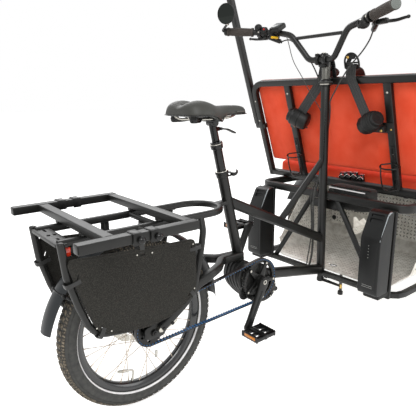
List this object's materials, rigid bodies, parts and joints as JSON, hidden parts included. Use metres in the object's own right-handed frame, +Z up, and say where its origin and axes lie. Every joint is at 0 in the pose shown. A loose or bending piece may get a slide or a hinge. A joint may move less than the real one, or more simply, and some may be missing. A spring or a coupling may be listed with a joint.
{
  "type": "trishaw",
  "caption": "Front-loading electric trishaw with a cushioned bench between two steered front wheels, a rider's saddle behind, toothed belt drive to the rear wheel and a rear rack.",
  "frame": {"origin": "on the ground under the middle of the overall box", "axes": "+X forwards in the direction of travel, +Y to the rider's left, +Z up"},
  "size_m": [2.2492, 1.096, 1.4959],
  "materials": {
    "belt": "matte blue toothed side",
    "black_parts": "satin black anodised",
    "board": "coarse grained",
    "frame_paint": "satin black",
    "grip": "matte knurled",
    "lamp": "clear red lens",
    "plastic": "fine moulded texture",
    "red_cover": "coated red-orange cloth",
    "rubber": "matte",
    "saddle_cover": "matte grained",
    "sheet": "five-bar checker plate, mill finish",
    "tyre": "matte, pale side stripe",
    "webbing": "woven strap"
  },
  "bodies": {
    "frame": {"seat_tube": "frame_paint", "down_tube": "frame_paint", "bottom_rail": "frame_paint", "head_column": "frame_paint", "rear_stays": "frame_paint", "rack_hoop": "frame_paint", "rack_leg_right": "frame_paint", "rack_leg_left": "frame_paint", "rack_deck": "frame_paint", "side_panel_right": "board", "side_panel_left": "board", "mudguard": "plastic", "tail_light": "lamp", "motor_unit": "plastic", "back_frame": "frame_paint", "seat_loop": "frame_paint", "floor_loop": "frame_paint", "box_a_frame": "frame_paint", "box_tray": "sheet", "seat_cushion": "red_cover", "back_cushion": "red_cover", "canopy_hoop": "frame_paint", "dock_right": "plastic", "dock_left": "plastic", "belt_right": "webbing", "belt_left": "webbing", "cage_right": "black_parts", "cage_left": "black_parts", "tool_bag": "webbing", "frame_loom": "rubber", "drive_belt": "belt"},
    "rear_wheel": {"rear_wheel": "black_parts", "rear_tyre": "tyre"},
    "rear_sprocket": {"rear_sprocket": "black_parts"},
    "crankset": {"crankset": "black_parts"},
    "pedal_right": {"pedal_right": "plastic"},
    "pedal_left": {"pedal_left": "plastic"},
    "seat_post": {"seat_post": "black_parts"},
    "dropper": {"dropper_post": "black_parts", "saddle": "saddle_cover"},
    "dropper_lever": {"dropper_lever": "plastic"},
    "seat_clamp": {"seat_clamp": "black_parts"},
    "battery_right": {"battery_right": "plastic"},
    "battery_left": {"battery_left": "plastic"},
    "steering": {"handlebar": "frame_paint", "grip_right": "grip", "grip_left": "grip", "display_unit": "plastic", "bar_hoses": "rubber"},
    "brake_lever_right": {"brake_lever_right": "black_parts"},
    "brake_lever_left": {"brake_lever_left": "black_parts"},
    "mirror": {"mirror": "plastic"},
    "knuckle_right": {"knuckle_right": "frame_paint"},
    "knuckle_left": {"knuckle_left": "frame_paint"},
    "front_wheel_right": {"front_wheel_right": "black_parts", "front_tyre_right": "tyre"},
    "front_wheel_left": {"front_wheel_left": "black_parts", "front_tyre_left": "tyre"},
    "tie_rod": {"tie_rod": "black_parts"},
    "drag_link": {"drag_link": "black_parts"}
  },
  "joints": [
    {"name": "rear_wheel_spin", "type": "hinge", "parent": "frame", "child": "rear_wheel", "pos_m": [-0.83543, 0, 0.258], "axis": [0, 1, 0], "continuous": true},
    {"name": "crank_spin", "type": "hinge", "parent": "frame", "child": "crankset", "pos_m": [-0.38843, 0, 0.297], "axis": [0, 1, 0], "continuous": true, "deforming": ["drive_belt"]},
    {"name": "sprocket_spin", "type": "hinge", "parent": "frame", "child": "rear_sprocket", "pos_m": [-0.83543, -0.055, 0.258], "axis": [0, 1, 0], "continuous": true},
    {"name": "pedal_right_spin", "type": "hinge", "parent": "crankset", "child": "pedal_right", "pos_m": [-0.46076, -0.08, 0.1487], "axis": [0, 1, 0], "continuous": true},
    {"name": "pedal_left_spin", "type": "hinge", "parent": "crankset", "child": "pedal_left", "pos_m": [-0.31609, 0.08, 0.4453], "axis": [0, 1, 0], "continuous": true},
    {"name": "seat_post_slide", "type": "slide", "parent": "frame", "child": "seat_post", "axis": [-0.2419, 0, 0.9703], "range_m": [-0.07, 0.1]},
    {"name": "dropper_slide", "type": "slide", "parent": "seat_post", "child": "dropper", "axis": [-0.2419, 0, 0.9703], "range_m": [-0.025, 0.075]},
    {"name": "dropper_lever_pull", "type": "hinge", "parent": "dropper", "child": "dropper_lever", "pos_m": [-0.5209, 0, 0.8242], "axis": [0, -1, 0], "range_deg": [0, 10], "stiffness_Nm_per_rad": 0.6, "springref_deg": -11.46},
    {"name": "seat_clamp_turn", "type": "hinge", "parent": "frame", "child": "seat_clamp", "pos_m": [-0.4843, -0.019, 0.67836], "axis": [0.2419, 0, -0.9703], "range_deg": [0, 110]},
    {"name": "battery_right_lift", "type": "slide", "parent": "frame", "child": "battery_right", "axis": [0, 0, 1], "range_m": [0, 0.3]},
    {"name": "battery_left_lift", "type": "slide", "parent": "frame", "child": "battery_left", "axis": [0, 0, 1], "range_m": [0, 0.3]},
    {"name": "steering_turn", "type": "hinge", "parent": "frame", "child": "steering", "pos_m": [0.00316, 0, 0.9603], "axis": [-0.0445, 0, 0.999], "range_deg": [-25, 25]},
    {"name": "brake_lever_right_squeeze", "type": "hinge", "parent": "steering", "child": "brake_lever_right", "pos_m": [-0.07528, -0.273, 1.15747], "axis": [-0.0359, -0.0574, -0.9977], "range_deg": [0, 11], "stiffness_Nm_per_rad": 1.5, "springref_deg": -11.46},
    {"name": "brake_lever_left_squeeze", "type": "hinge", "parent": "steering", "child": "brake_lever_left", "pos_m": [-0.07528, 0.273, 1.15747], "axis": [0.0359, -0.0574, 0.9977], "range_deg": [0, 11], "stiffness_Nm_per_rad": 1.5, "springref_deg": -11.46},
    {"name": "mirror_tilt", "type": "hinge", "parent": "steering", "child": "mirror", "pos_m": [-0.17751, 0.36677, 1.17654], "axis": [-0.5287, 0.8461, 0.0677], "range_deg": [-20, 20]},
    {"name": "knuckle_right_turn", "type": "hinge", "parent": "frame", "child": "knuckle_right", "pos_m": [0.66457, -0.425, 0.15], "axis": [0, 0, 1], "range_deg": [-25, 25]},
    {"name": "front_wheel_right_spin", "type": "hinge", "parent": "knuckle_right", "child": "front_wheel_right", "pos_m": [0.66457, -0.5, 0.258], "axis": [0, 1, 0], "continuous": true},
    {"name": "knuckle_left_turn", "type": "hinge", "parent": "frame", "child": "knuckle_left", "pos_m": [0.66457, 0.425, 0.15], "axis": [0, 0, 1], "range_deg": [-25, 25]},
    {"name": "front_wheel_left_spin", "type": "hinge", "parent": "knuckle_left", "child": "front_wheel_left", "pos_m": [0.66457, 0.5, 0.258], "axis": [0, 1, 0], "continuous": true},
    {"name": "tie_rod_slide", "type": "slide", "parent": "frame", "child": "tie_rod", "axis": [0, 1, 0], "range_m": [-0.0482, 0.0482]},
    {"name": "drag_link_slide", "type": "slide", "parent": "frame", "child": "drag_link", "axis": [1, 0, 0], "range_m": [-0.0447, 0.0447]}
  ],
  "couplings": [
    {"joint": "sprocket_spin", "follows": "crank_spin", "ratio": 1.5714},
    {"joint": "knuckle_right_turn", "follows": "steering_turn", "ratio": 1},
    {"joint": "knuckle_left_turn", "follows": "steering_turn", "ratio": 1},
    {"joint": "tie_rod_slide", "follows": "steering_turn", "m_per_rad": -0.11},
    {"joint": "drag_link_slide", "follows": "steering_turn", "m_per_rad": 0.102}
  ]
}
